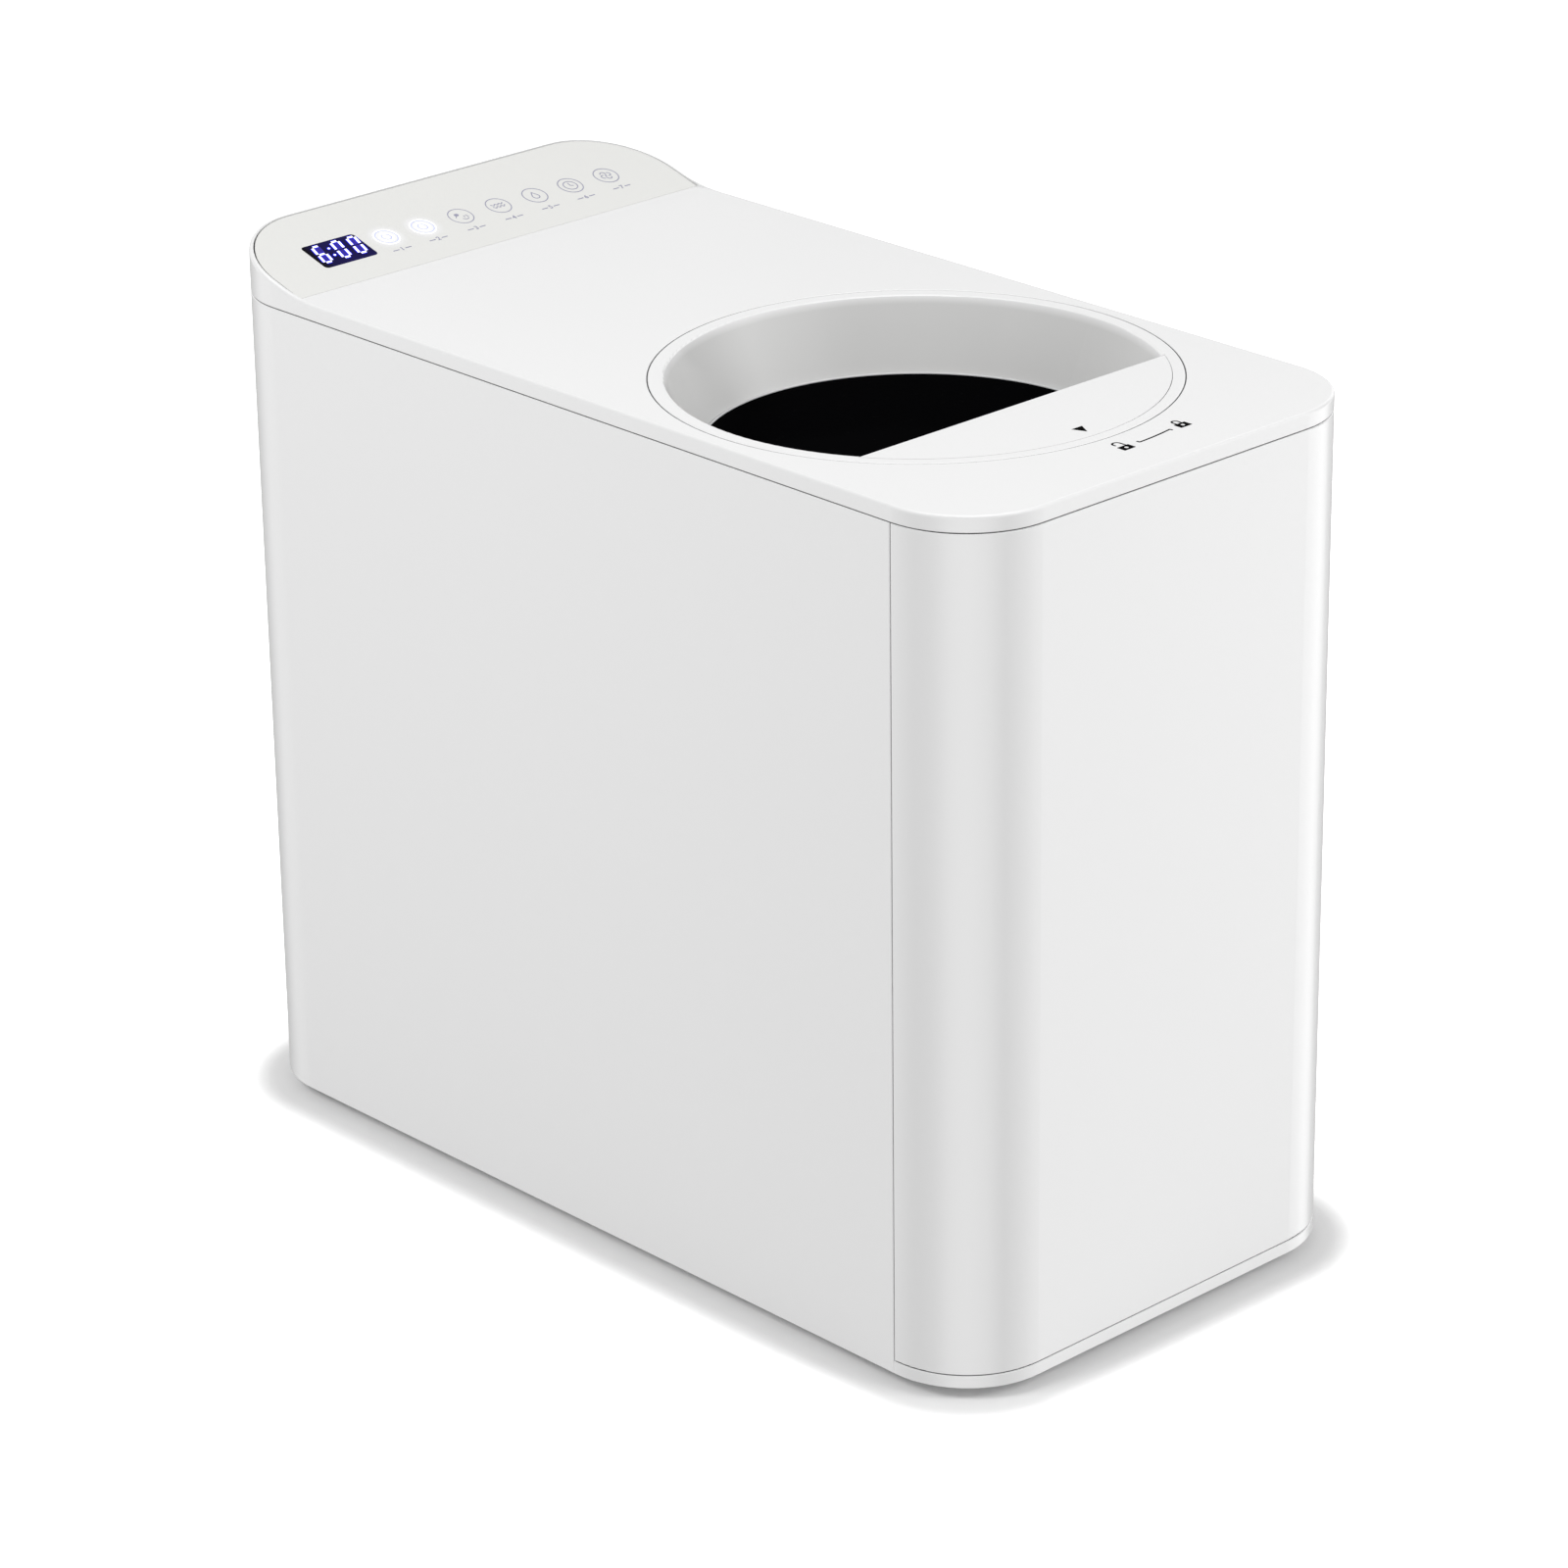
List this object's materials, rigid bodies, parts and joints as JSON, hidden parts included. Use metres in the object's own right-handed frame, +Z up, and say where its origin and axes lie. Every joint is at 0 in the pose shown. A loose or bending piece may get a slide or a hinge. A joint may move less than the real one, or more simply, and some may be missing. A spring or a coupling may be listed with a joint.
{
  "type": "electric food waste composter",
  "caption": "Upright white kitchen composter with a twist-lock round lid, lift-out bucket with geared agitator, sloping touch panel and pull-out filter drawer.",
  "frame": {"origin": "on the floor, under the middle of the body's width and depth", "axes": "+Z up, front of the machine towards -Y, +X to the right seen from the front"},
  "size_m": [0.2036, 0.4, 0.347],
  "materials": {
    "white_shell": "satin moulded ABS",
    "panel_white": "hard-coated polycarbonate, warm white",
    "display_glass": "smoked navy window over the digits",
    "black_glass": "polished black window",
    "grey_plastic": "moulded polypropylene",
    "black_plastic": "glass-filled nylon",
    "black_rubber": "moulded",
    "silicone": "soft silicone",
    "aluminium": "deep drawn",
    "cast_heater": "cast, with the element inside",
    "steel": "zinc plated or stainless",
    "mineral_felt": "heat-resistant felt",
    "bronze": "sintered, oiled",
    "brass": "hobbed",
    "magnet": "ferrite",
    "circuit_board": "glass-fibre laminate",
    "cable_sheath": "PVC",
    "coated_bucket": "die cast, ceramic coated",
    "gear_plastic": "acetal",
    "copper_winding": "enamelled wire on laminations",
    "carbon": "granules in a fleece bag"
  },
  "bodies": {
    "housing": {"side_shell": "white_shell", "base_tray": "white_shell", "rubber_feet": "black_rubber", "top_cover": "white_shell", "control_panel": "panel_white", "display_window": "display_glass", "touch_board": "circuit_board", "lid_collar": "grey_plastic", "lid_switch": "black_plastic", "heating_well": "aluminium", "shaft_seal": "silicone", "heater_plate": "cast_heater", "thermostat": "steel", "insulation_sleeve": "mineral_felt", "chamber_stand": "steel", "gearbox_case": "black_plastic", "gearbox_cover": "black_plastic", "output_bushes": "bronze", "gear_pins": "steel", "motor_can": "steel", "motor_end_cap": "black_plastic", "motor_magnets": "magnet", "exhaust_manifold": "grey_plastic", "fan_frame": "black_plastic", "front_frame": "steel", "drawer_rails": "grey_plastic", "drawer_magnets": "magnet", "mains_inlet": "black_plastic", "exhaust_grille": "grey_plastic", "power_board": "circuit_board", "wiring": "cable_sheath", "case_screws": "steel"},
    "lid_seal": {"lid_gasket": "silicone"},
    "lid": {"lid_body": "white_shell", "grip_plate": "white_shell", "window_disc": "black_glass", "window_retainer": "grey_plastic", "lid_magnet": "magnet"},
    "bucket": {"bucket": "coated_bucket", "bucket_bush": "bronze", "bucket_fingers": "steel", "bail_ears": "steel"},
    "bail": {"bail_handle": "steel", "bail_grip": "black_rubber"},
    "agitator": {"agitator_shaft": "steel", "agitator_arms": "steel", "agitator_dog": "grey_plastic"},
    "output_drive": {"output_gear": "gear_plastic", "output_shaft": "steel", "drive_dog": "grey_plastic"},
    "idler_b": {"gear_b": "gear_plastic"},
    "idler_a": {"gear_a": "gear_plastic"},
    "motor_rotor": {"motor_armature": "copper_winding", "motor_pinion": "brass"},
    "fan": {"fan_rotor": "black_plastic"},
    "drawer": {"drawer_front": "white_shell", "filter_tray": "grey_plastic", "filter_cassette": "grey_plastic", "carbon_pad": "carbon", "catch_plates": "steel"}
  },
  "joints": [
    {"name": "lid_lift", "type": "slide", "parent": "housing", "child": "lid_seal", "axis": [0, 0, 1], "range_m": [0, 0.5]},
    {"name": "lid_twist", "type": "hinge", "parent": "lid_seal", "child": "lid", "pos_m": [0, -0.0731, 0.3], "axis": [0, 0, 1], "range_deg": [0, 16.6]},
    {"name": "bucket_lift", "type": "slide", "parent": "housing", "child": "bucket", "axis": [0, 0, 1], "range_m": [0, 0.25]},
    {"name": "bail_swing", "type": "hinge", "parent": "bucket", "child": "bail", "pos_m": [0, -0.0731, 0.2962], "axis": [-1, 0, 0], "range_deg": [0, 90]},
    {"name": "agitator_spin", "type": "hinge", "parent": "bucket", "child": "agitator", "pos_m": [0, -0.0731, 0.12], "axis": [0, 0, 1], "continuous": true},
    {"name": "drive_spin", "type": "hinge", "parent": "housing", "child": "output_drive", "pos_m": [0, -0.0731, 0.03], "axis": [0, 0, 1], "continuous": true},
    {"name": "idler_b_spin", "type": "hinge", "parent": "housing", "child": "idler_b", "pos_m": [0, -0.0211, 0.03], "axis": [0, 0, 1], "continuous": true},
    {"name": "idler_a_spin", "type": "hinge", "parent": "housing", "child": "idler_a", "pos_m": [0, 0.0179, 0.03], "axis": [0, 0, 1], "continuous": true},
    {"name": "motor_spin", "type": "hinge", "parent": "housing", "child": "motor_rotor", "pos_m": [0, 0.0554, 0.06], "axis": [0, 0, 1], "continuous": true},
    {"name": "fan_spin", "type": "hinge", "parent": "housing", "child": "fan", "pos_m": [0, -0.1655, 0.195], "axis": [0, 1, 0], "continuous": true},
    {"name": "drawer_slide", "type": "slide", "parent": "housing", "child": "drawer", "axis": [0, -1, 0], "range_m": [0, 0.095]}
  ],
  "couplings": [
    {"joint": "bucket_lift", "follows": "lid_lift", "ratio": 0.5},
    {"joint": "bail_swing", "follows": "lid_lift", "rad_per_m": 3.1416},
    {"joint": "agitator_spin", "follows": "drive_spin", "ratio": 1},
    {"joint": "idler_b_spin", "follows": "drive_spin", "ratio": -2.7143},
    {"joint": "idler_a_spin", "follows": "drive_spin", "ratio": 7.3673},
    {"joint": "motor_spin", "follows": "drive_spin", "ratio": -20.26}
  ]
}
